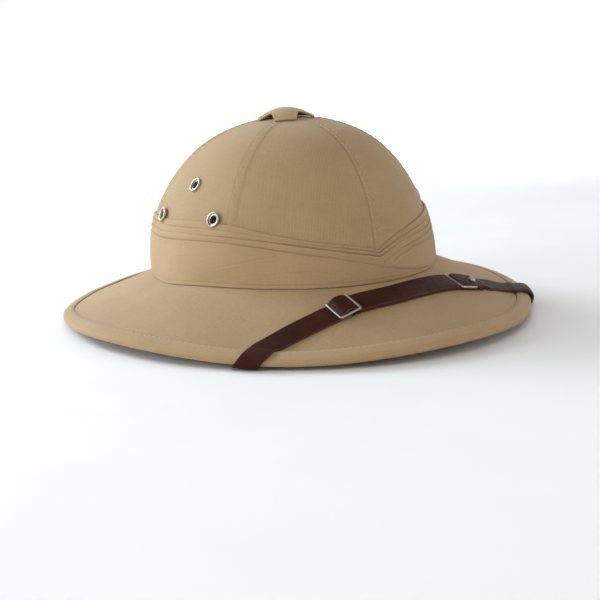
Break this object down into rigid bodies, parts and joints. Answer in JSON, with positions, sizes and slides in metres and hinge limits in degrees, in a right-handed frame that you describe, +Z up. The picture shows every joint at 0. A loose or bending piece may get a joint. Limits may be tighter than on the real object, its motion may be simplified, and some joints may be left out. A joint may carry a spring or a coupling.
{
  "type": "pith helmet",
  "caption": "Cloth covered pith helmet with a domed crown, pleated pugaree, wide bound brim and a leather chin strap worn over the brim.",
  "frame": {"origin": "on the floor under the middle of the brim", "axes": "-Y towards the front of the hat, +X towards the wearer's left, +Z up"},
  "size_m": [0.2972, 0.3378, 0.1358],
  "materials": {
    "khaki_cotton": "matt woven cotton, stretched over a moulded shell",
    "khaki_cotton_trim": "matt woven cotton, folded and stitched",
    "brown_leather": "smooth, slightly glossy",
    "nickel": "nickel plated, polished"
  },
  "bodies": {
    "root": {"crown": "khaki_cotton", "brim": "khaki_cotton", "brim_binding": "khaki_cotton_trim", "pugaree": "khaki_cotton_trim", "ventilator_cap": "khaki_cotton_trim", "eyelet_right_top": "nickel", "eyelet_right_front": "nickel", "eyelet_right_rear": "nickel", "eyelet_left_top": "nickel", "eyelet_left_front": "nickel", "eyelet_left_rear": "nickel", "strap_long": "brown_leather", "strap_link": "brown_leather", "strap_short": "brown_leather", "slider_buckle": "nickel", "keeper_frame": "nickel", "strap_stud": "nickel", "strap_anchor_right": "nickel", "strap_anchor_left": "nickel"}
  },
  "joints": []
}
